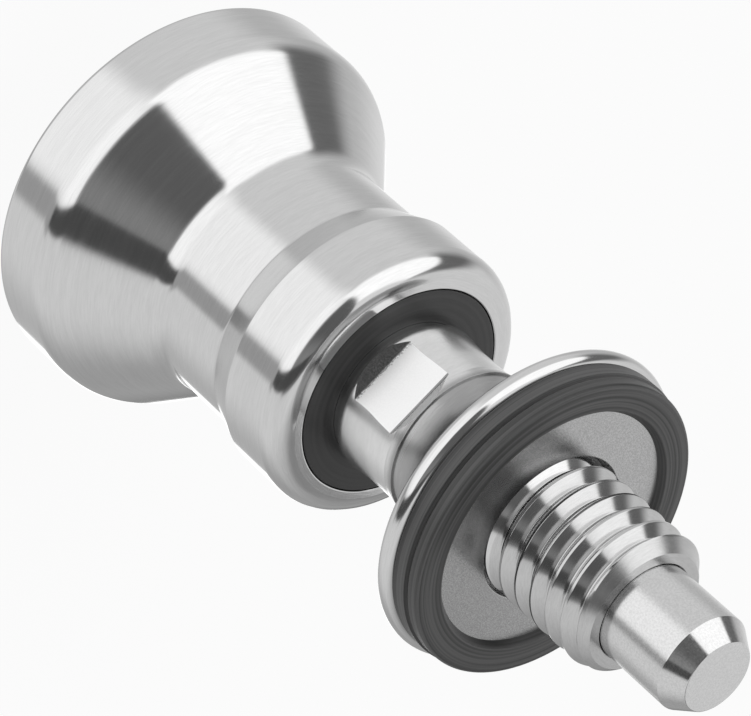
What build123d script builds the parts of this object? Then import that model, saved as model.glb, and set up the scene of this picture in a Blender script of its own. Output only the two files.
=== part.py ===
from build123d import *
from math import radians, tan
import os

# Indexing plunger. Z runs along its axis towards the tip of the locking pin, and Z = 0 is the metal face of the
# sealing washer, which seats on the machine. Every piece but the spring is turned, so it is a half outline in the
# XZ plane, with X as its radius, revolved about Z.

# Driving dimensions, in millimetres
THREAD_DIAMETER = 11.8
THREAD_LENGTH = 10.6
PIN_DIAMETER = 8.0
STROKE = 8.0
FLANGE_DIAMETER = 26.4
COLLAR_DIAMETER = 12.5
ACROSS_FLATS = 11.0
GUIDE_DIAMETER = 12.2
ROD_DIAMETER = 5.0
WASHER_THICKNESS = 2.15
WASHER_METAL_DIAMETER = 19.8
WASHER_DIAMETER = 25.0
KNOB_DIAMETER = 33.0
NECK_DIAMETER = 21.2
MOUTH_DIAMETER = 23.0
KNOB_LENGTH = 29.7

# Clearances
PIN_FIT = 0.05  # radial, the pin in the sleeve's bore
PIN_LEAD = 0.05  # between the sleeve's front face and the start of the pin's free end
ROD_FIT = 0.10  # radial, the rod in the sleeve's rear wall
SEAL_FIT = 0.03  # radial, the knob's seal round the guide
GUIDE_GAP = 0.30  # radial, the knob's bore round the guide
STOP_GAP = 0.20  # between the knob's inner end and the sleeve's rear end at rest

# Places along the axis
FLANGE_FRONT = -WASHER_THICKNESS
COLLAR_FRONT = -11.4
COLLAR_BACK = -17.2
MOUTH = -18.3
SLEEVE_BACK = -34.0
KNOB_TOP = MOUTH - KNOB_LENGTH
PIN_TIP = THREAD_LENGTH + STROKE
REAR_WALL = 3.0
SPRING_FRONT = -6.0
SPRING_BACK = SLEEVE_BACK + REAR_WALL
ROD_END = -43.6

# The sleeve's details
THREAD_PITCH = 1.75
THREAD_CREST = 0.22
THREAD_ROOT = 0.44
THREAD_ANGLE = 60
THREAD_CHAMFER = 0.95
BORE_CHAMFER = 0.2
RUNOUT_DIAMETER = 9.6
RUNOUT_FRONT = 0.0
RIM_RADIUS = 0.75
FLARE_STEP = 0.25
COLLAR_ROUNDING = 0.6
GUIDE_CHAMFER = 0.5
POCKET_BACK = -17.3
POCKET_FRONT = -11.55
BACK_CORNER = 1.0
FRONT_CORNER = 0.35

# The knob's details
SEAL_DIAMETER = 17.9
SEAL_DEPTH = 3.5
MOUTH_ROUNDING = 2.0
STEP_START = -24.6
STEP_END = -27.3
CONE_START = -34.65
CONE_END = -42.3
STEP_ROUNDING = 0.3
STEP_FILLET = 0.9
NECK_FILLET = 3.0
HEAD_FILLET = 3.0
TOP_ROUNDING = 0.5
DRILL_DEPTH = 1.2

# The pin's, the seals' and the spring's details
PIN_CHAMFER = 1.7
PIN_TIP_DIAMETER = 5.9
PIN_GROOVE_WIDTH = 0.8
PIN_GROOVE_DEPTH = 0.2
LIP_CHAMFER = 0.3
SEAL_GROOVE_WIDTH = 0.9
SEAL_GROOVE_DEPTH = 2.0
WASHER_HOLE_DIAMETER = 12.2
RUBBER_RISE = 0.5
RUBBER_SLOPE = 0.4
RUBBER_EDGE = 0.3
RUBBER_BULGE = 0.15
PARTING_HEIGHT = -0.72
PARTING_GROOVE = 0.15
WIRE_DIAMETER = 0.9
COIL_DIAMETER = 6.7
COIL_COUNT = 12
WIRE_GAP = 0.1

os.makedirs("parts", exist_ok=True)

# Radii that several pieces share
thread_radius = THREAD_DIAMETER / 2
pin_radius = PIN_DIAMETER / 2
bore_radius = pin_radius + PIN_FIT
rod_radius = ROD_DIAMETER / 2
rod_hole_radius = rod_radius + ROD_FIT
guide_radius = GUIDE_DIAMETER / 2
collar_radius = COLLAR_DIAMETER / 2
metal_radius = WASHER_METAL_DIAMETER / 2
seal_radius = SEAL_DIAMETER / 2

# Sleeve: thread, flange with a rounded rim, concave flare, collar with two wrench flats and the guide
rim_outer = FLANGE_DIAMETER / 2
rim_centre = rim_outer - RIM_RADIUS
rim_back = FLANGE_FRONT - 2 * RIM_RADIUS
flare_root = collar_radius - FLARE_STEP
face_radius = thread_radius - THREAD_CHAMFER
threaded_end = THREAD_LENGTH - THREAD_CHAMFER
threaded_middle = (RUNOUT_FRONT + threaded_end) / 2
groove_count = int((threaded_end - RUNOUT_FRONT - THREAD_CREST) / THREAD_PITCH)
groove_mouth = THREAD_PITCH - THREAD_CREST
groove_depth = (groove_mouth - THREAD_ROOT) / 2 / tan(radians(THREAD_ANGLE / 2))
with BuildPart() as sleeve:
    with BuildSketch(Plane.XZ) as sleeve_half:
        with BuildLine() as sleeve_outline:
            Polyline(
                (rod_hole_radius, SPRING_BACK),
                (bore_radius, SPRING_BACK),
                (bore_radius, THREAD_LENGTH - BORE_CHAMFER),
                (bore_radius + BORE_CHAMFER, THREAD_LENGTH),
                (face_radius, THREAD_LENGTH),
                (thread_radius, THREAD_LENGTH - THREAD_CHAMFER),
                (thread_radius, RUNOUT_FRONT),
                (RUNOUT_DIAMETER / 2, RUNOUT_FRONT),
                (RUNOUT_DIAMETER / 2, FLANGE_FRONT),
                (rim_centre, FLANGE_FRONT),
            )
            ThreePointArc(
                (rim_centre, FLANGE_FRONT),
                (rim_outer, FLANGE_FRONT - RIM_RADIUS),
                (rim_centre, rim_back),
            )
            flare = TangentArc(
                (flare_root, COLLAR_FRONT),
                (rim_centre, rim_back),
                tangent=(0, 1),
            )
            Polyline(
                (flare_root, COLLAR_FRONT),
                (collar_radius, COLLAR_FRONT),
                (collar_radius, COLLAR_BACK + COLLAR_ROUNDING),
            )
            TangentArc(
                (collar_radius, COLLAR_BACK + COLLAR_ROUNDING),
                (guide_radius, COLLAR_BACK),
                tangent=(0, -1),
            )
            Polyline(
                (guide_radius, COLLAR_BACK),
                (guide_radius, SLEEVE_BACK + GUIDE_CHAMFER),
                (guide_radius - GUIDE_CHAMFER, SLEEVE_BACK),
                (rod_hole_radius, SLEEVE_BACK),
                (rod_hole_radius, SPRING_BACK),
            )
        make_face()
        # The thread is cut as separate ring grooves with its own pitch and flanks
        with Locations((thread_radius, threaded_middle)):
            with GridLocations(THREAD_PITCH, THREAD_PITCH, 1, groove_count):
                Polygon(
                    (-groove_depth, THREAD_ROOT / 2),
                    (-groove_depth, -THREAD_ROOT / 2),
                    (0, -groove_mouth / 2),
                    (0, groove_mouth / 2),
                    align=None,
                    mode=Mode.SUBTRACT,
                )
    revolve(axis=Axis.Z)
    # The two flats are milled across the collar by a cutter with rounded corners
    with BuildSketch(Plane.XZ) as cutter_section:
        pocket_height = COLLAR_DIAMETER - ACROSS_FLATS + BACK_CORNER
        pocket_middle = (ACROSS_FLATS + pocket_height) / 2
        pocket_centre = (POCKET_FRONT + POCKET_BACK) / 2
        with Locations((pocket_middle, pocket_centre), (-pocket_middle, pocket_centre)):
            Rectangle(pocket_height, POCKET_FRONT - POCKET_BACK)
        fillet(cutter_section.vertices().group_by(Axis.Y)[0], BACK_CORNER)
        fillet(cutter_section.vertices().group_by(Axis.Y)[-1], FRONT_CORNER)
    extrude(amount=collar_radius, both=True, mode=Mode.SUBTRACT)
sleeve.part.label = "sleeve"
export_step(sleeve.part, "parts/sleeve.step")

# Locking pin: the ground pin with its chamfered tip, a grease groove just inside the sleeve, the spring's
# shoulder and the rod that carries the knob
groove_front = THREAD_LENGTH + PIN_LEAD
groove_floor = pin_radius - PIN_GROOVE_DEPTH
with BuildPart() as locking_pin:
    with BuildSketch(Plane.XZ) as pin_half:
        with BuildLine() as pin_outline:
            Polyline(
                (0, PIN_TIP),
                (PIN_TIP_DIAMETER / 2, PIN_TIP),
                (pin_radius, PIN_TIP - PIN_CHAMFER),
                (pin_radius, groove_front),
                (groove_floor, groove_front),
                (groove_floor, groove_front - PIN_GROOVE_WIDTH),
                (pin_radius, groove_front - PIN_GROOVE_WIDTH),
                (pin_radius, SPRING_FRONT),
                (rod_radius, SPRING_FRONT),
                (rod_radius, ROD_END),
                (0, ROD_END),
                close=True,
            )
        make_face()
    revolve(axis=Axis.Z)
locking_pin.part.label = "locking_pin"
export_step(locking_pin.part, "parts/locking_pin.step")

# Return spring: a coil between the sleeve's rear wall and the pin's shoulder
wire_radius = WIRE_DIAMETER / 2
coil_start = SPRING_BACK + wire_radius + WIRE_GAP
coil_height = SPRING_FRONT - wire_radius - WIRE_GAP - coil_start
with BuildPart() as return_spring:
    with BuildLine() as coil:
        Helix(coil_height / COIL_COUNT, coil_height, COIL_DIAMETER / 2, center=(0, 0, coil_start))
    with BuildSketch(Plane(origin=coil.line @ 0, z_dir=coil.line % 0)) as wire:
        Circle(wire_radius)
    sweep()
return_spring.part.label = "return_spring"
export_step(return_spring.part, "parts/return_spring.step")

# Knob: head, cone, neck, small step and rounded mouth, with a blind bore for the guide and a hole for the rod
head_radius = KNOB_DIAMETER / 2
neck_radius = NECK_DIAMETER / 2
mouth_radius = MOUTH_DIAMETER / 2
knob_bore_radius = guide_radius + GUIDE_GAP
seal_seat = MOUTH - SEAL_DEPTH
bore_end = SLEEVE_BACK - STOP_GAP
with BuildPart() as knob:
    with BuildSketch(Plane.XZ) as knob_half:
        with BuildLine() as knob_outline:
            mouth_edge = (mouth_radius - MOUTH_ROUNDING, MOUTH)
            mouth_side = (mouth_radius, MOUTH - MOUTH_ROUNDING)
            RadiusArc(mouth_edge, mouth_side, MOUTH_ROUNDING)
            FilletPolyline(
                mouth_side,
                (mouth_radius, STEP_START),
                (neck_radius, STEP_END),
                (neck_radius, CONE_START),
                (head_radius, CONE_END),
                (head_radius, KNOB_TOP),
                (0, KNOB_TOP),
                radius=(STEP_ROUNDING, STEP_FILLET, NECK_FILLET, HEAD_FILLET, TOP_ROUNDING),
            )
            Polyline(
                (0, KNOB_TOP),
                (0, ROD_END - DRILL_DEPTH),
                (rod_radius, ROD_END),
                (rod_radius, bore_end),
                (knob_bore_radius, bore_end),
                (knob_bore_radius, seal_seat),
                (seal_radius, seal_seat),
                (seal_radius, MOUTH),
                mouth_edge,
            )
        make_face()
    revolve(axis=Axis.Z)
knob.part.label = "knob"
export_step(knob.part, "parts/knob.step")

# Knob seal: elastomer ring in the mouth, grooved behind so that its inner lip can flex on the guide
lip_radius = guide_radius + SEAL_FIT
groove_radius = (lip_radius + seal_radius) / 2
with BuildPart() as knob_seal:
    with BuildSketch(Plane.XZ) as seal_half:
        with BuildLine() as seal_outline:
            Polyline(
                (lip_radius + LIP_CHAMFER, MOUTH),
                (seal_radius, MOUTH),
                (seal_radius, seal_seat),
                (groove_radius + SEAL_GROOVE_WIDTH / 2, seal_seat),
                (groove_radius + SEAL_GROOVE_WIDTH / 2, seal_seat + SEAL_GROOVE_DEPTH),
                (groove_radius - SEAL_GROOVE_WIDTH / 2, seal_seat + SEAL_GROOVE_DEPTH),
                (groove_radius - SEAL_GROOVE_WIDTH / 2, seal_seat),
                (lip_radius + LIP_CHAMFER, seal_seat),
                (lip_radius, seal_seat + LIP_CHAMFER),
                (lip_radius, MOUTH - LIP_CHAMFER),
                close=True,
            )
        make_face()
    revolve(axis=Axis.Z)
knob_seal.part.label = "knob_seal"
export_step(knob_seal.part, "parts/knob_seal.step")

# Sealing washer, metal disc
with BuildPart() as seal_washer_disc:
    with BuildSketch(Plane.XY.offset(FLANGE_FRONT)) as disc_section:
        Circle(metal_radius)
        Circle(WASHER_HOLE_DIAMETER / 2, mode=Mode.SUBTRACT)
    extrude(amount=WASHER_THICKNESS)
seal_washer_disc.part.label = "seal_washer_disc"
export_step(seal_washer_disc.part, "parts/seal_washer_disc.step")

# Sealing washer, rubber rim: it stands proud of the metal face, and a parting groove runs round its side
rubber_radius = WASHER_DIAMETER / 2
rubber_back_radius = rubber_radius + RUBBER_BULGE
with BuildPart() as seal_washer_rim:
    with BuildSketch(Plane.XZ) as rim_half:
        with BuildLine() as rim_outline:
            Polyline(
                (metal_radius, FLANGE_FRONT),
                (metal_radius, 0),
                (metal_radius + RUBBER_SLOPE, RUBBER_RISE),
                (rubber_radius - RUBBER_EDGE, RUBBER_RISE),
                (rubber_radius, RUBBER_RISE - RUBBER_EDGE),
                (rubber_radius, PARTING_HEIGHT + PARTING_GROOVE),
                (rubber_radius - PARTING_GROOVE, PARTING_HEIGHT),
                (rubber_back_radius, PARTING_HEIGHT - PARTING_GROOVE),
                (rubber_back_radius, FLANGE_FRONT),
                close=True,
            )
        make_face()
    revolve(axis=Axis.Z)
seal_washer_rim.part.label = "seal_washer_rim"
export_step(seal_washer_rim.part, "parts/seal_washer_rim.step")
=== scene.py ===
"""Indexing plunger: the finished look of each piece, a plain studio and the camera. Lengths are millimetres
until a mesh is made, angles are degrees, and Z is the plunger's axis, towards the tip of its pin."""

import math

import bmesh
import bpy
from mathutils import Matrix, Vector


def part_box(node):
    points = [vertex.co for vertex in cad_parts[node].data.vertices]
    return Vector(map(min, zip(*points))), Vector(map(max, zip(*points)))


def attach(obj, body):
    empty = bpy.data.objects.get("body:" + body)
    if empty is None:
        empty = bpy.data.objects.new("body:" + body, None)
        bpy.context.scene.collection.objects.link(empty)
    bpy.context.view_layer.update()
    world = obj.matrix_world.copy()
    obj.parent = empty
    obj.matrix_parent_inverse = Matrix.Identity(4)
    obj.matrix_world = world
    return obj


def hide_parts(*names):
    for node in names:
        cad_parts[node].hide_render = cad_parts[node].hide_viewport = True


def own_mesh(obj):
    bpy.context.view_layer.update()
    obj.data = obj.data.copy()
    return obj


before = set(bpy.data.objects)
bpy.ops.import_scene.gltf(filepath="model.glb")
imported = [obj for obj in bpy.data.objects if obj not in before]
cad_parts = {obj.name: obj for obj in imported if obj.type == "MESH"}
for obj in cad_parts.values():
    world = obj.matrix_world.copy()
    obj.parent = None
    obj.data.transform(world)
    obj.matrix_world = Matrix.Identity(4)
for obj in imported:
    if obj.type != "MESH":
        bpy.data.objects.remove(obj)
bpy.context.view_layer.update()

MM = 0.001
SEGMENTS = 360  # points in a ring of a turned piece
SLEEVE_SEGMENTS = 288
SHARP_ANGLE = 24.0  # corners sharper than this stay sharp
MERGE = 0.0005  # points closer than this become one
SUPPORT = 0.03  # from a corner to the ring that keeps the shading of a straight run flat
TINY = 1e-6


# ------------------------------------------------------------ shader helpers
class Socket:
    """An output of a shader tree. Sums written with it add Math nodes."""

    def __init__(self, tree, output):
        self.tree = tree
        self.output = output

    def math(self, operation, *values):
        return self.tree.node("ShaderNodeMath", {"operation": operation}, dict(enumerate(values)))

    def __add__(self, other):
        return self.math("ADD", self, other)

    def __sub__(self, other):
        return self.math("SUBTRACT", self, other)

    def __rsub__(self, other):
        return self.math("SUBTRACT", other, self)

    def __mul__(self, other):
        return self.math("MULTIPLY", self, other)

    def __truediv__(self, other):
        return self.math("DIVIDE", self, other)

    __radd__ = __add__
    __rmul__ = __mul__


class ShaderTree:
    """The nodes of one material or world."""

    def __init__(self, owner):
        owner.use_nodes = True
        self.tree = owner.node_tree
        self.tree.nodes.clear()

    def node(self, kind, settings=None, inputs=None, output=0):
        """A new node, with its settings and then the values or links of its inputs. It gives one output, or
        the node itself where it has none."""
        made = self.tree.nodes.new(kind)
        for name, value in (settings or {}).items():
            setattr(made, name, value)
        for name, value in (inputs or {}).items():
            if isinstance(value, Socket):
                self.tree.links.new(value.output, made.inputs[name])
            else:
                made.inputs[name].default_value = value
        return Socket(self, made.outputs[output]) if len(made.outputs) else made

    def parts(self, vector):
        """The three numbers of a vector."""
        split = self.node("ShaderNodeSeparateXYZ", inputs={0: vector}).output.node
        return [Socket(self, split.outputs[i]) for i in range(3)]

    def vector(self, x, y, z):
        return self.node("ShaderNodeCombineXYZ", inputs={0: x, 1: y, 2: z})

    def rise(self, value, start, end):
        """0 below start and 1 above end, with a smooth change between."""
        return self.node(
            "ShaderNodeMapRange",
            {"interpolation_type": "SMOOTHSTEP"},
            {"Value": value, "From Min": start, "From Max": end},
        )

    def blend(self, factor, first, second):
        """A number that goes from first to second as the factor goes from 0 to 1."""
        values = {"Factor": factor, "A": first, "B": second}
        return self.node("ShaderNodeMix", {"clamp_factor": False}, values)

    def grey(self, value):
        return self.node("ShaderNodeCombineColor", inputs={0: value, 1: value, 2: value})


# ------------------------------------------------------------ mesh helpers
def outline(corners, closed=True, steps=8):
    """The points of an outline. A corner is (radius, height), with a third number where it is rounded to that
    radius, or a list of points of its own. Each straight run gets a point close to either end."""
    ends = [(corner[0], corner[-1]) if isinstance(corner, list) else (corner[:2],) * 2 for corner in corners]
    runs = []
    count = len(corners)
    for i, corner in enumerate(corners):
        if isinstance(corner, list):
            runs.append([Vector(point) for point in corner])
            continue
        here = Vector(corner[:2])
        if len(corner) == 2:
            runs.append([here])
            continue
        towards_last = (Vector(ends[i - 1][1]) - here).normalized()
        towards_next = (Vector(ends[(i + 1) % count][0]) - here).normalized()
        half = towards_last.angle(towards_next) / 2
        centre = here + (towards_last + towards_next).normalized() * corner[2] / math.sin(half)
        start = here + towards_last * corner[2] / math.tan(half) - centre
        end = here + towards_next * corner[2] / math.tan(half) - centre
        sweep = -start.angle_signed(end)
        runs.append([centre + Matrix.Rotation(sweep * k / steps, 2) @ start for k in range(steps + 1)])
    points = []
    for i, run in enumerate(runs):
        points.extend(run)
        if i == count - 1 and not closed:
            break
        start, end = run[-1], runs[(i + 1) % count][0]
        length = (end - start).length
        if length > 4 * SUPPORT and start.x + end.x > SUPPORT:
            points.append(start.lerp(end, SUPPORT / length))
            points.append(end.lerp(start, SUPPORT / length))
    return [tuple(point) for point in points]


def arc(centre, radius, start, end, steps=24):
    """The points of an arc about a centre (radius, height), between two angles."""
    angles = [math.radians(start + (end - start) * k / steps) for k in range(steps + 1)]
    return [(centre[0] + radius * math.cos(a), centre[1] + radius * math.sin(a)) for a in angles]


class Turning:
    """A mesh made of rings round Z."""

    def __init__(self, segments=SEGMENTS):
        self.segments = segments
        self.points = []
        self.faces = []

    def ring(self, radius, height):
        """The indices of a new ring, or of one point where the radius is 0."""
        first = len(self.points)
        if radius < TINY:
            self.points.append((0, 0, height))
            return [first]
        for k in range(self.segments):
            angle = 2 * math.pi * k / self.segments
            self.points.append((radius * math.cos(angle), radius * math.sin(angle), height))
        return list(range(first, first + self.segments))

    def join(self, first, second):
        """Faces between two rings, either of which may be a point on the axis."""
        if len(first) == 1 and len(second) == 1:
            return
        for k in range(self.segments):
            after = (k + 1) % self.segments
            if len(first) == 1:
                self.faces.append((first[0], second[after], second[k]))
            elif len(second) == 1:
                self.faces.append((first[k], first[after], second[0]))
            else:
                self.faces.append((first[k], first[after], second[after], second[k]))

    def turn(self, points, closed=True):
        """Rings for a whole outline, joined in turn."""
        rings = [self.ring(radius, height) for radius, height in points]
        for first, second in zip(rings, rings[1:]):
            self.join(first, second)
        if closed:
            self.join(rings[-1], rings[0])
        return rings


def piece(name, points, faces, materials):
    """A smooth-shaded object from points in millimetres, with its sharp corners kept sharp."""
    mesh = bpy.data.meshes.new(name)
    mesh.from_pydata([Vector(point) * MM for point in points], [], faces)
    work = bmesh.new()
    work.from_mesh(mesh)
    bmesh.ops.remove_doubles(work, verts=work.verts, dist=MERGE * MM)
    bmesh.ops.recalc_face_normals(work, faces=work.faces)
    work.to_mesh(mesh)
    work.free()
    for material in materials:
        mesh.materials.append(material)
    keep_corners_sharp(mesh)
    made = bpy.data.objects.new(name, mesh)
    bpy.context.scene.collection.objects.link(made)
    return made


def keep_corners_sharp(mesh):
    mesh.polygons.foreach_set("use_smooth", [True] * len(mesh.polygons))
    mesh.set_sharp_from_angle(angle=math.radians(SHARP_ANGLE))


def turned(name, corners, material):
    """A turned piece from its closed outline."""
    work = Turning()
    work.turn(outline(corners))
    return piece(name, work.points, work.faces, [material])


def finish_piece(made, body, node):
    """The piece rides on its body, and stands for its CAD node."""
    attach(made, body)
    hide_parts(node)


# ------------------------------------------------------------ dimensions
def heights(node):
    """The lowest and highest place of a CAD node, in millimetres."""
    low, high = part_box(node)
    return low.z / MM, high.z / MM


def reach(node):
    """The outer radius of a CAD node, in millimetres."""
    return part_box(node)[1].x / MM


KNOB_TOP, MOUTH = heights("knob")
SLEEVE_BACK, THREAD_END = heights("sleeve")
ROD_END, PIN_TIP = heights("locking_pin")
FLANGE_FRONT = heights("seal_washer_disc")[0]
SEAL_SEAT = heights("knob_seal")[0]
RUBBER_FACE = heights("seal_washer_rim")[1]
HEAD_RADIUS = reach("knob")
SEAL_RADIUS = reach("knob_seal")
RIM_OUTER = reach("sleeve")
PIN_RADIUS = reach("locking_pin")
METAL_RADIUS = reach("seal_washer_disc")
RUBBER_BACK_RADIUS = reach("seal_washer_rim")

# Knob
NECK_RADIUS = 10.6
MOUTH_RADIUS = 11.5
MOUTH_ROUNDING = 1.9
MOUTH_SLOPE = 0.07
STEP_START = -24.6
STEP_END = -27.3
CONE_START = -34.65
CONE_END = -42.3
HEAD_FILLET = 3.0
STEP_FILLET = 0.9
STEP_ROUNDING = 0.3
TOP_ROUNDING = 0.5
EDGE = 0.08  # the small rounding of a deburred edge

# Sleeve
COLLAR_RADIUS = 6.28
COLLAR_FRONT = -10.8
COLLAR_RIDGE = 0.17  # how far the ridge at the front of the collar stands out
COLLAR_RAMP = 1.0
COLLAR_BACK = -17.35
COLLAR_LIP = 0.22  # how far the lip at the back of the collar stands out
COLLAR_LIP_TAPER = 2.7
COLLAR_LIP_FACE = 0.3
GUIDE_RADIUS = 6.1
RIM_RADIUS = 0.75
FLAT_HEIGHT = 5.5
FLAT_RISE = 0.2  # how far the slightly hollow flat rises towards the knob
POCKET_BACK = -16.55
POCKET_FRONT = -12.1
FRONT_STEP = 0.12  # the low step where the flat ends towards the flare
CUTTER_REACH = 1.0  # how far the cutter reaches past the collar
ROD_RADIUS = 2.5
ROD_HOLE_RADIUS = 2.6
BORE_RADIUS = 4.05
SPRING_FRONT = -6.0
SPRING_BACK = -31.0
BORE_CHAMFER = 0.06
GUIDE_CHAMFER = 0.5
FLARE_FRONT = -3.6  # where its satin finish ends
FLARE_BLEND = 0.8  # the way over which the collar's finish changes to the flare's

# Thread
THREAD_RADIUS = 5.9
PITCH = 1.75
CREST_WIDTH = PITCH / 8
FLANK_ANGLE = 42.0  # from a plane square to the axis
ROOT_WIDTH = 0.12
THREAD_DEPTH = (PITCH - CREST_WIDTH - ROOT_WIDTH) / 2 / math.tan(math.radians(FLANK_ANGLE))
CREST_ROUNDING = 0.05
ROOT_ROUNDING = 0.06
CREST_START = 1.243  # the height of a crest on the X axis
FLANK_STEP = 0.2  # about the longest step from ring to ring down a flank
THREAD_CHAMFER = 0.95
RUNOUT_RADIUS = 4.8
THREAD_BACK = -1.7
RUNOUT_SLOPE = 1.7

# Locking pin and seals
PIN_CHAMFER = 1.7
PIN_TIP_RADIUS = 2.95
PIN_EDGE = 0.1
GROOVE_FRONT = THREAD_END - 0.3  # of the pin's groove, just inside the sleeve
GROOVE_WIDTH = 0.8
GROOVE_DEPTH = 0.2
DRILL_DEPTH = 1.2  # of the pointed end of the knob's hole
KNOB_BORE_RADIUS = 6.4
STOP_GAP = 0.2  # between the sleeve's back and the knob
SEAL_LIP_RADIUS = 6.11
SEAL_LIP_CHAMFER = 0.1
SEAL_GAP = 0.1  # the narrow joint line between the knob and its seal
SEAL_GAP_DEPTH = 0.5
SEAL_GROOVE_WIDTH = 0.9
SEAL_GROOVE_DEPTH = 2.0
WASHER_HOLE_RADIUS = 6.12
DISC_SLOPE = 0.1
RUBBER_RADIUS = 12.5
RUBBER_SLOPE = 0.4
RUBBER_EDGE = 0.3
PARTING_HEIGHT = -0.72
PARTING_GROOVE = 0.15
WIRE_RADIUS = 0.45
COIL_RADIUS = 3.35
COILS = 12
STROKE = 8.0  # how far the knob pulls out

# Floor and camera
FLOOR_GAP = 0.2  # below the knob when it is pulled out
FLOOR_REACH = 3000
FLOOR_GREY = (0.9, 0.9, 0.9, 1)
FLOOR_WHITENESS = 0.92  # the share of plain white in the floor that the camera sees
WHITE = (1, 1, 1, 1)
CAMERA_AZIMUTH = 3.2
CAMERA_ELEVATION = 37.17
CAMERA_ROLL = 131.89
CAMERA_AIM = (0.036, -0.647, -22.10)
CAMERA_DISTANCE = 313.66
CAMERA_LENS = 199.9
CAMERA_SENSOR = 36


# ------------------------------------------------------------ pieces
def make_knob(material):
    bore_end = SLEEVE_BACK - STOP_GAP
    return turned(
        "turned_knob",
        [
            (SEAL_RADIUS, MOUTH, EDGE),
            (MOUTH_RADIUS, MOUTH - MOUTH_SLOPE, MOUTH_ROUNDING),
            (MOUTH_RADIUS, STEP_START, STEP_ROUNDING),
            (NECK_RADIUS, STEP_END, STEP_FILLET),
            (NECK_RADIUS, CONE_START, HEAD_FILLET),
            (HEAD_RADIUS, CONE_END, HEAD_FILLET),
            (HEAD_RADIUS, KNOB_TOP, TOP_ROUNDING),
            (0, KNOB_TOP),
            (0, ROD_END - DRILL_DEPTH),
            (ROD_RADIUS, ROD_END),
            (ROD_RADIUS, bore_end),
            (KNOB_BORE_RADIUS, bore_end),
            (KNOB_BORE_RADIUS, SEAL_SEAT),
            (SEAL_RADIUS, SEAL_SEAT),
        ],
        material,
    )


def thread_rows():
    """The points of one pitch of the thread, from root to root, as (radius, height from the crest)."""
    root = THREAD_RADIUS - THREAD_DEPTH
    crest_half = CREST_WIDTH / 2
    root_start = (PITCH - ROOT_WIDTH) / 2
    corners = [
        (root, -PITCH / 2),
        (root, -root_start, ROOT_ROUNDING),
        (THREAD_RADIUS, -crest_half, CREST_ROUNDING),
        (THREAD_RADIUS, crest_half, CREST_ROUNDING),
        (root, root_start, ROOT_ROUNDING),
        (root, PITCH / 2),
    ]
    rows = []
    points = outline(corners, closed=False, steps=3)
    for start, end in zip(points, points[1:]):
        steps = max(1, round(abs(end[0] - start[0]) / FLANK_STEP))
        rows += [tuple(Vector(start).lerp(Vector(end), k / steps)) for k in range(steps)]
    return rows


def add_thread(work):
    """The helical thread's faces, and its rings of points at the back and at the front."""
    rows = thread_rows()
    turns = math.ceil((THREAD_END - THREAD_BACK) / PITCH) + 2
    first_turn = math.floor((THREAD_BACK - CREST_START) / PITCH) - 1
    face_radius = THREAD_RADIUS - THREAD_CHAMFER
    lines = []
    for k in range(turns * len(rows)):
        radius, height = rows[k % len(rows)]
        height += CREST_START + PITCH * (first_turn + k // len(rows))
        line = []
        for j in range(work.segments):
            place = min(max(height + PITCH * j / work.segments, THREAD_BACK), THREAD_END)
            chamfer = face_radius + THREAD_END - place
            runout = RUNOUT_RADIUS + (place - THREAD_BACK) * RUNOUT_SLOPE
            radius_here = min(radius, chamfer, runout)
            angle = 2 * math.pi * j / work.segments
            line.append(len(work.points))
            work.points.append((radius_here * math.cos(angle), radius_here * math.sin(angle), place))
        lines.append(line)
    for k in range(len(lines) - 1):
        for j in range(work.segments):
            if j < work.segments - 1:
                work.faces.append((lines[k][j], lines[k][j + 1], lines[k + 1][j + 1], lines[k + 1][j]))
            elif k + 1 + len(rows) < len(lines):
                shifted = k + len(rows)
                work.faces.append((lines[k][j], lines[shifted][0], lines[shifted + 1][0], lines[k + 1][j]))
    return lines[0], lines[-1]


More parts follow.
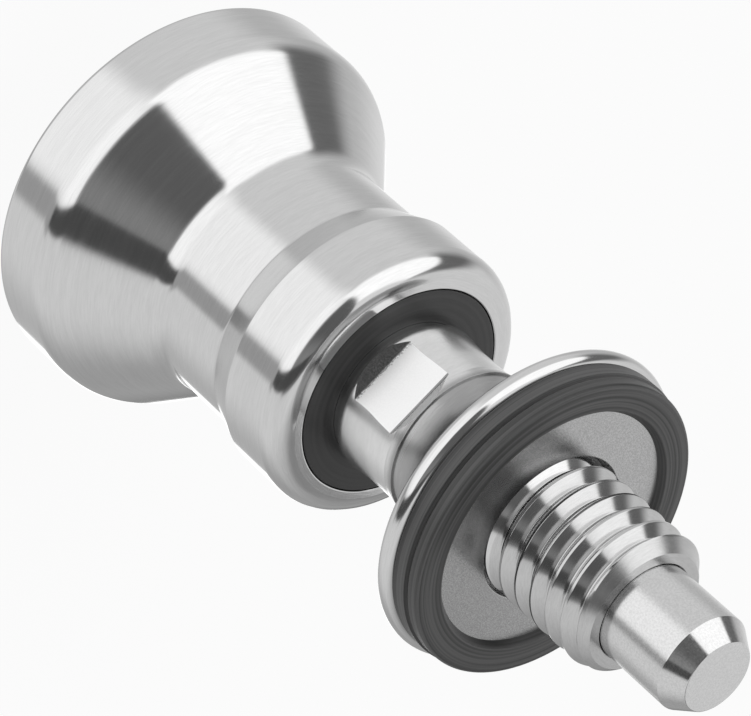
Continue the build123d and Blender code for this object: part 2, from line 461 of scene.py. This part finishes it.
def make_sleeve(steel, milled):
    """The sleeve with its thread, and the two flats cut across its collar."""
    work = Turning(SLEEVE_SEGMENTS)
    back_line, front_line = add_thread(work)
    rim_centre = RIM_OUTER - RIM_RADIUS
    rim_back = FLANGE_FRONT - 2 * RIM_RADIUS
    flare_rise = rim_back - COLLAR_FRONT
    flare_width = rim_centre - COLLAR_RADIUS
    flare_radius = (flare_rise**2 + flare_width**2) / (2 * flare_width)
    flare_end = math.degrees(math.atan2(flare_rise, flare_width - flare_radius))
    flare = arc((COLLAR_RADIUS + flare_radius, COLLAR_FRONT), flare_radius, flare_end, 180)
    lip_radius = (COLLAR_LIP_TAPER**2 + COLLAR_LIP**2) / (2 * COLLAR_LIP)
    lip_slope = math.degrees(math.asin(COLLAR_LIP_TAPER / lip_radius))
    lip_start = COLLAR_BACK + COLLAR_LIP_FACE + COLLAR_LIP_TAPER
    lip = arc((COLLAR_RADIUS + lip_radius, lip_start), lip_radius, 180, 180 + lip_slope, steps=10)
    corners = [
        (RUNOUT_RADIUS, THREAD_BACK),
        (RUNOUT_RADIUS, FLANGE_FRONT),
        (RIM_OUTER, FLANGE_FRONT, RIM_RADIUS),
        (RIM_OUTER, rim_back, RIM_RADIUS),
        flare[1:],
        (COLLAR_RADIUS + COLLAR_RIDGE, COLLAR_FRONT, EDGE / 2),
        (COLLAR_RADIUS, COLLAR_FRONT - COLLAR_RAMP),
        lip,
        (COLLAR_RADIUS + COLLAR_LIP, COLLAR_BACK, EDGE),
        (GUIDE_RADIUS, COLLAR_BACK),
        (GUIDE_RADIUS, SLEEVE_BACK + GUIDE_CHAMFER),
        (GUIDE_RADIUS - GUIDE_CHAMFER, SLEEVE_BACK),
        (ROD_HOLE_RADIUS, SLEEVE_BACK),
        (ROD_HOLE_RADIUS, SPRING_BACK),
        (BORE_RADIUS, SPRING_BACK),
        (BORE_RADIUS, THREAD_END - BORE_CHAMFER),
        (BORE_RADIUS + BORE_CHAMFER, THREAD_END),
    ]
    rings = work.turn(outline(corners, closed=False), closed=False)
    work.join(back_line, rings[0])
    work.join(rings[-1], front_line)
    sleeve = piece("threaded_sleeve", work.points, work.faces, [steel, milled])
    cut_flats(sleeve, milled)
    return sleeve


def cut_flats(sleeve, milled):
    """Cuts the two flats, each by a bar across the collar. Each flat is slightly hollow and slopes up at its
    back. At its front it ends in a low step and a slope up to the flare."""
    height = COLLAR_RADIUS + CUTTER_REACH
    floor_length = POCKET_FRONT - POCKET_BACK
    floor_radius = floor_length**2 / (2 * FLAT_RISE)
    floor_slope = math.degrees(floor_length / floor_radius)
    centre = (FLAT_HEIGHT + floor_radius, POCKET_FRONT)
    section = outline(
        [
            (height, POCKET_BACK - (height - FLAT_HEIGHT - FLAT_RISE)),
            arc(centre, floor_radius, 180 + floor_slope, 180, steps=16),
            (FLAT_HEIGHT + FRONT_STEP, POCKET_FRONT + FRONT_STEP),
            (COLLAR_RADIUS + COLLAR_RIDGE, COLLAR_FRONT + EDGE),
            (height, COLLAR_FRONT + EDGE),
        ]
    )
    count = len(section)
    for side in (1, -1):
        points = [(side * x, y, z) for y in (-height, height) for x, z in section]
        faces = [tuple(range(count)), tuple(range(count, 2 * count))]
        faces += [(k, (k + 1) % count, (k + 1) % count + count, k + count) for k in range(count)]
        cutter = piece("cutter", points, faces, [milled])
        cut = sleeve.modifiers.new("cut", "BOOLEAN")
        cut.operation = "DIFFERENCE"
        cut.solver = "EXACT"
        cut.material_mode = "TRANSFER"
        cut.object = cutter
        shape = bpy.data.meshes.new_from_object(sleeve.evaluated_get(bpy.context.evaluated_depsgraph_get()))
        sleeve.modifiers.clear()
        sleeve.data = shape
        bpy.data.objects.remove(cutter)
    keep_corners_sharp(sleeve.data)


def make_pin(material):
    groove_floor = PIN_RADIUS - GROOVE_DEPTH
    groove_back = GROOVE_FRONT - GROOVE_WIDTH
    return turned(
        "ground_pin",
        [
            (0, PIN_TIP),
            (PIN_TIP_RADIUS, PIN_TIP, PIN_EDGE),
            (PIN_RADIUS, PIN_TIP - PIN_CHAMFER, PIN_EDGE),
            (PIN_RADIUS, GROOVE_FRONT),
            (groove_floor, GROOVE_FRONT),
            (groove_floor, groove_back),
            (PIN_RADIUS, groove_back),
            (PIN_RADIUS, SPRING_FRONT),
            (ROD_RADIUS, SPRING_FRONT),
            (ROD_RADIUS, ROD_END),
            (0, ROD_END),
        ],
        material,
    )


def make_knob_seal(material):
    groove_outer = (SEAL_LIP_RADIUS + SEAL_RADIUS + SEAL_GROOVE_WIDTH) / 2
    groove_inner = groove_outer - SEAL_GROOVE_WIDTH
    groove_floor = SEAL_SEAT + SEAL_GROOVE_DEPTH
    return turned(
        "moulded_knob_seal",
        [
            (SEAL_RADIUS - SEAL_GAP, MOUTH, EDGE),
            (SEAL_RADIUS - SEAL_GAP, MOUTH - SEAL_GAP_DEPTH),
            (SEAL_RADIUS, MOUTH - SEAL_GAP_DEPTH),
            (SEAL_RADIUS, SEAL_SEAT),
            (groove_outer, SEAL_SEAT),
            (groove_outer, groove_floor),
            (groove_inner, groove_floor),
            (groove_inner, SEAL_SEAT),
            (SEAL_LIP_RADIUS + SEAL_LIP_CHAMFER, SEAL_SEAT),
            (SEAL_LIP_RADIUS, SEAL_SEAT + SEAL_LIP_CHAMFER),
            (SEAL_LIP_RADIUS, MOUTH, EDGE / 4),
        ],
        material,
    )


def make_washer_disc(material):
    return turned(
        "washer_disc",
        [
            (WASHER_HOLE_RADIUS, FLANGE_FRONT),
            (WASHER_HOLE_RADIUS, 0, EDGE),
            (METAL_RADIUS, -DISC_SLOPE),
            (METAL_RADIUS, FLANGE_FRONT),
        ],
        material,
    )


def make_washer_rubber(material):
    return turned(
        "washer_rubber",
        [
            (METAL_RADIUS, FLANGE_FRONT),
            (METAL_RADIUS, -DISC_SLOPE),
            (METAL_RADIUS + RUBBER_SLOPE, RUBBER_FACE, RUBBER_EDGE / 2),
            (RUBBER_RADIUS, RUBBER_FACE, RUBBER_EDGE),
            (RUBBER_RADIUS, PARTING_HEIGHT + PARTING_GROOVE),
            (RUBBER_RADIUS - PARTING_GROOVE, PARTING_HEIGHT),
            (RUBBER_BACK_RADIUS, PARTING_HEIGHT - PARTING_GROOVE),
            (RUBBER_BACK_RADIUS, FLANGE_FRONT, EDGE),
        ],
        material,
    )


def make_spring(material):
    """The coil between the sleeve's rear wall and the pin's shoulder."""
    steps_round = 12
    steps_turn = 48
    start = SPRING_BACK + WIRE_RADIUS
    rise = SPRING_FRONT - WIRE_RADIUS - start
    count = COILS * steps_turn
    slope = math.atan2(rise / COILS, 2 * math.pi * COIL_RADIUS)
    lean = math.sin(slope)
    points = []
    for i in range(count + 1):
        angle = 2 * math.pi * i / steps_turn
        outward = Vector((math.cos(angle), math.sin(angle), 0))
        upward = Vector((math.sin(angle) * lean, -math.cos(angle) * lean, math.cos(slope)))
        middle = outward * COIL_RADIUS + Vector((0, 0, start + rise * i / count))
        for k in range(steps_round):
            turn = 2 * math.pi * k / steps_round
            points.append(middle + (outward * math.cos(turn) + upward * math.sin(turn)) * WIRE_RADIUS)
    faces = [tuple(range(steps_round)), tuple(range(count * steps_round, (count + 1) * steps_round))]
    for i in range(count):
        for k in range(steps_round):
            here, after = i * steps_round + k, i * steps_round + (k + 1) % steps_round
            faces.append((here, after, after + steps_round, here + steps_round))
    return piece("coil_spring", points, faces, [material])


# ------------------------------------------------------------ materials
class Finish(ShaderTree):
    """The material of one surface, with the coordinates that a lathe or a grinder leaves its marks along."""

    def __init__(self, name, metallic):
        self.material = bpy.data.materials.new(name)
        super().__init__(self.material)
        place = self.node("ShaderNodeTexCoord", output="Object")
        x, y, z = self.parts(place)
        self.place = place
        self.height = z
        across = self.vector(x, y, 0)
        self.radius = self.node("ShaderNodeVectorMath", {"operation": "LENGTH"}, {0: across}, output="Value")
        self.around = self.vector(x / (self.radius + TINY), y / (self.radius + TINY), 0)
        self.shader = self.node("ShaderNodeBsdfPrincipled").output.node
        self.set("Metallic", metallic)
        self.node("ShaderNodeOutputMaterial", inputs={"Surface": Socket(self, self.shader.outputs[0])})

    def set(self, name, value):
        """A value or a link for one of the shader's own sockets."""
        if isinstance(value, Socket):
            self.tree.links.new(value.output, self.shader.inputs[name])
        else:
            self.shader.inputs[name].default_value = value

    def rings(self, spacing, breaks, detail=2.0):
        """Noise drawn out into rings round the axis, spacing apart and broken breaks times in a turn."""
        x, y, _ = self.parts(self.around)
        scale = 1 / (spacing * MM)
        drawn = self.vector(x * (breaks / math.pi), y * (breaks / math.pi), self.height * scale)
        return self.node(
            "ShaderNodeTexNoise",
            {"noise_dimensions": "4D"},
            {"Vector": drawn, "W": self.radius * scale, "Scale": 1.0, "Detail": detail},
        )

    def grain(self, size, detail=2.0):
        """Noise with spots of a size."""
        values = {"Vector": self.place, "Scale": 1 / (size * MM), "Detail": detail}
        return self.node("ShaderNodeTexNoise", inputs=values)

    def contrast(self, noise):
        """Noise drawn out over the whole way from 0 to 1."""
        return self.rise(noise, 0.3, 0.7)

    def above(self, height, fade):
        """0 up to a height and 1 from a short way above it, both in millimetres."""
        return self.rise(self.height, height * MM, (height + fade) * MM)

    def relief(self, height, depth):
        """Bumps of a depth in millimetres."""
        bump = self.node("ShaderNodeBump", inputs={"Height": height, "Distance": depth * MM, "Strength": 1.0})
        self.set("Normal", bump)

    def colour(self, level):
        self.set("Base Color", self.grey(level))


def turned_steel():
    """Polished turning marks. The collar is paler and duller, the flare is darker and satin, the thread is a
    little darker, and the chamfer at the thread's end is duller."""
    finish = Finish("turned_steel", metallic=1.0)
    fine = finish.rings(spacing=0.1, breaks=30)
    coarse = finish.rings(spacing=0.5, breaks=3)
    past_collar = finish.above(COLLAR_FRONT - FLARE_BLEND, fade=FLARE_BLEND)
    collar = finish.above(COLLAR_BACK - 0.5, fade=0.1) * (1 - past_collar)
    flare = past_collar * (1 - finish.above(FLARE_FRONT - 0.4, fade=0.4))
    thread = finish.above(0, fade=0.1)
    chamfer = finish.above(THREAD_END - 1, fade=0.2)
    polished = finish.blend(finish.contrast(fine * 0.6 + coarse * 0.4), 0.67, 0.73)
    finish.colour(polished + collar * 0.102 - flare * 0.264 - thread * 0.108)
    dullness = collar * 0.11 + flare * 0.16 + thread * 0.02 + chamfer * 0.14
    finish.set("Roughness", finish.blend(coarse, 0.08, 0.13) + dullness)
    finish.relief(fine * (1 - thread * 0.7), depth=0.0015)
    return finish.material


def milled_steel():
    """A grained flat that ends raggedly towards its sloping back, which is darkened with painted shade. Past
    the flat's front come a step darkened with painted shade and a slope made pale with a painted highlight.
    """
    finish = Finish("milled_steel", metallic=1.0)
    spots = finish.grain(size=0.12)
    ragged_height = finish.height + (spots - 0.5) * 0.6 * MM
    flat = finish.rise(ragged_height, (POCKET_BACK + 0.02) * MM, (POCKET_BACK + 0.25) * MM)
    # Past the flat: a step darkened with painted shade, then a slope made pale with a painted highlight
    painted_shade_past_flat = finish.above(POCKET_FRONT - 0.2, fade=0.06)
    slope = finish.above(POCKET_FRONT + FRONT_STEP, fade=0.04)
    # The sloping back's colour is darkened with painted shade
    painted_shade_back = spots * 0.5 + 0.13
    grained = spots * 0.1 + 0.8
    # Painted shade on the sloping back and on the step, and a painted highlight on the slope
    finish.colour(finish.blend(flat, painted_shade_back, grained) - painted_shade_past_flat * 0.6 + slope * 0.75)
    finish.set("Roughness", finish.blend(flat, 0.2, 0.3) - painted_shade_past_flat * 0.1 + slope * 0.35)
    finish.relief(spots, depth=0.003)
    return finish.material


def ground_steel():
    """A fine ground grain with faint rings. The chamfer at the tip is smoother."""
    finish = Finish("ground_steel", metallic=1.0)
    spots = finish.grain(size=0.16, detail=3.0)
    lines = finish.rings(spacing=0.1, breaks=8)
    chamfer = finish.above(PIN_TIP - PIN_CHAMFER - 0.1, fade=0.1)
    finish.colour(finish.blend(finish.contrast(spots), 0.65, 0.74))
    finish.set("Roughness", finish.blend(spots, 0.16, 0.26) - chamfer * 0.08)
    finish.relief(spots * 0.4 + lines * 0.6, depth=0.002)
    return finish.material


def disc_steel():
    """Matt steel with a fine grain."""
    finish = Finish("disc_steel", metallic=1.0)
    spots = finish.grain(size=0.11, detail=3.0)
    finish.colour(finish.blend(finish.contrast(spots), 0.43, 0.58))
    finish.set("Roughness", 0.27)
    finish.relief(spots, depth=0.003)
    return finish.material


def spring_steel():
    """Drawn wire."""
    finish = Finish("spring_steel", metallic=1.0)
    finish.colour(finish.blend(finish.grain(size=0.3), 0.5, 0.64))
    finish.set("Roughness", 0.3)
    return finish.material


def black_moulding(name, spacing, dark, light):
    """A satin black moulding with fine rings, a spacing apart, that go from a dark grey to a light one."""
    finish = Finish(name, metallic=0.0)
    lines = finish.rings(spacing, breaks=1.5)
    finish.colour(finish.blend(finish.contrast(lines), dark, light))
    finish.set("Roughness", finish.blend(lines, 0.36, 0.5))
    finish.relief(lines, depth=0.006)
    return finish.material


# ------------------------------------------------------------ studio
class Studio(ShaderTree):
    """A world of panels round the work. Directions are azimuths and elevations, and a level of 1 is white."""

    def __init__(self, plain):
        world = bpy.data.worlds.new("studio")
        bpy.context.scene.world = world
        super().__init__(world)
        x, y, z = self.parts(self.node("ShaderNodeTexCoord", output="Generated"))
        self.azimuth = x.math("ARCTAN2", y, x) * (180 / math.pi)
        self.elevation = z.math("ARCSINE", z) * (180 / math.pi)
        self.level = plain

    def panel(self, level, left=-181, right=181, low=-91, high=91, lean_left=0, lean_right=0, soft=3, edge=4):
        """A panel between two azimuths and two elevations. The azimuths hold at the horizon, and a side leans
        by so much for each degree of elevation. soft is half the width over which a side fades, and edge is
        the same for the top and bottom."""
        from_left = self.rise(self.azimuth - self.elevation * lean_left, left - soft, left + soft)
        from_right = self.rise(self.azimuth - self.elevation * lean_right, right - soft, right + soft)
        from_low = self.rise(self.elevation, low - edge, low + edge)
        from_high = self.rise(self.elevation, high - edge, high + edge)
        cover = from_left * (1 - from_right) * from_low * (1 - from_high)
        self.level = self.blend(cover, self.level, level)

    def finish(self):
        """The panels light the work, and the camera sees plain white behind it."""
        seen = self.node("ShaderNodeLightPath", output="Is Camera Ray")
        shown = self.grey(self.blend(seen, self.level, 1.0))
        surface = self.node("ShaderNodeBackground", inputs={"Color": shown})
        self.node("ShaderNodeOutputWorld", inputs={"Surface": surface})


def make_studio():
    studio = Studio(plain=0.79)
    # The dim floor under the work
    studio.panel(0.58, high=-58, edge=18)
    # The dim back with its darker bands, and the dim low corner beside it
    studio.panel(0.54, left=118, right=200, soft=25)
    studio.panel(0.38, left=148, right=200, low=-10, soft=22, edge=18)
    studio.panel(0.42, left=122, right=200, low=-34, high=4, soft=24, edge=8)
    studio.panel(0.16, left=168, right=200, low=-34, high=-8, soft=16, edge=6)
    studio.panel(0.58, left=-140, right=-100, high=4, soft=16, edge=10)
    studio.panel(0.30, left=150, right=200, low=28, high=50, soft=12, edge=6)
    # The bright strip low behind, in two lengths
    studio.panel(1.55, left=146, right=200, low=-42, high=-32, lean_left=-0.3, edge=1.5)
    studio.panel(1.40, left=-200, right=-169, low=-41, high=-32, soft=9, edge=2)
    # The bright front below the camera, brightest near the horizon
    studio.panel(1.15, left=-22, right=46, low=-52, high=23, soft=8, edge=8)
    studio.panel(1.26, left=-12, right=46, low=-16, high=23, soft=8, edge=8)
    # The glow under the large light, the dark gap beside it, the light itself and its dimmer top
    studio.panel(1.38, left=-86, right=-32, low=4, high=30, soft=6, edge=11)
    studio.panel(0.17, left=-123, right=-92, low=-10, high=54, soft=8, edge=16)
    studio.panel(1.38, left=-92.5, right=-16, low=5, high=74, lean_left=-0.30, lean_right=-0.30, edge=6)
    studio.panel(0.90, left=-114, right=-34, low=59, high=78)
    # The dark side round the camera, a little brighter on its right
    studio.panel(0.13, left=-16, right=60, low=24, lean_left=-0.30, lean_right=0.18, edge=6)
    studio.panel(0.27, left=22, right=60, low=24, high=70, soft=14, edge=6)
    # The dark post on the right, and its paler foot
    studio.panel(0.40, left=48, right=66, high=-22, soft=3.5, edge=6)
    studio.panel(0.08, left=46, right=61.5, low=-26, high=68, lean_left=-0.1, lean_right=0.02, soft=2)
    # The dark ceiling
    studio.panel(0.12, low=77)
    studio.finish()


def make_floor():
    """A pale floor that the pulled knob just clears. It keeps the soft shadow, polished metal doesn't mirror
    it, and the camera sees through it from below."""
    height = KNOB_TOP - STROKE - FLOOR_GAP
    corners = ((-1, -1), (1, -1), (1, 1), (-1, 1))
    points = [(x * FLOOR_REACH, y * FLOOR_REACH, height) for x, y in corners]
    material = bpy.data.materials.new("pale_floor")
    tree = ShaderTree(material)
    matt = tree.node("ShaderNodeBsdfDiffuse", inputs={"Color": FLOOR_GREY})
    white = tree.node("ShaderNodeEmission", inputs={"Color": WHITE, "Strength": 1.0})
    seen = tree.node("ShaderNodeLightPath", output="Is Camera Ray")
    pale = tree.node("ShaderNodeMixShader", inputs={0: seen * FLOOR_WHITENESS, 1: matt, 2: white})
    clear = tree.node("ShaderNodeBsdfTransparent")
    below = tree.node("ShaderNodeNewGeometry", output="Backfacing")
    surface = tree.node("ShaderNodeMixShader", inputs={0: below * seen, 1: pale, 2: clear})
    tree.node("ShaderNodeOutputMaterial", inputs={"Surface": surface})
    floor = piece("floor", points, [(0, 1, 2, 3)], [material])
    floor.visible_glossy = False


def make_camera():
    azimuth = math.radians(CAMERA_AZIMUTH)
    elevation = math.radians(CAMERA_ELEVATION)
    roll = math.radians(CAMERA_ROLL)
    level = math.cos(elevation)
    back = Vector((level * math.cos(azimuth), level * math.sin(azimuth), math.sin(elevation)))
    level_right = Vector((0, 0, 1)).cross(back).normalized()
    level_up = back.cross(level_right)
    right = level_right * math.cos(roll) + level_up * math.sin(roll)
    up = level_up * math.cos(roll) - level_right * math.sin(roll)
    turn = Matrix((right, up, back)).transposed().to_4x4()
    camera = bpy.data.objects.new("camera", bpy.data.cameras.new("camera"))
    camera.data.sensor_width = CAMERA_SENSOR
    camera.data.lens = CAMERA_LENS
    place = Vector(CAMERA_AIM) * MM + back * (CAMERA_DISTANCE * MM)
    camera.matrix_world = Matrix.Translation(place) @ turn
    bpy.context.scene.collection.objects.link(camera)
    bpy.context.scene.camera = camera


# ------------------------------------------------------------ the scene
make_camera()
make_studio()
make_floor()

steel = turned_steel()
elastomer = black_moulding("black_elastomer", spacing=0.25, dark=0.036, light=0.056)
rubber = black_moulding("black_rubber", spacing=0.18, dark=0.035, light=0.11)
finish_piece(make_knob(steel), "plunger", "knob")
finish_piece(make_sleeve(steel, milled_steel()), "sleeve", "sleeve")
finish_piece(make_pin(ground_steel()), "plunger", "locking_pin")
finish_piece(make_knob_seal(elastomer), "plunger", "knob_seal")
finish_piece(make_washer_disc(disc_steel()), "sleeve", "seal_washer_disc")
finish_piece(make_washer_rubber(rubber), "sleeve", "seal_washer_rim")
spring = make_spring(spring_steel())
finish_piece(spring, "sleeve", "return_spring")
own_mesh(spring)

bpy.context.scene.view_settings.view_transform = "Standard"
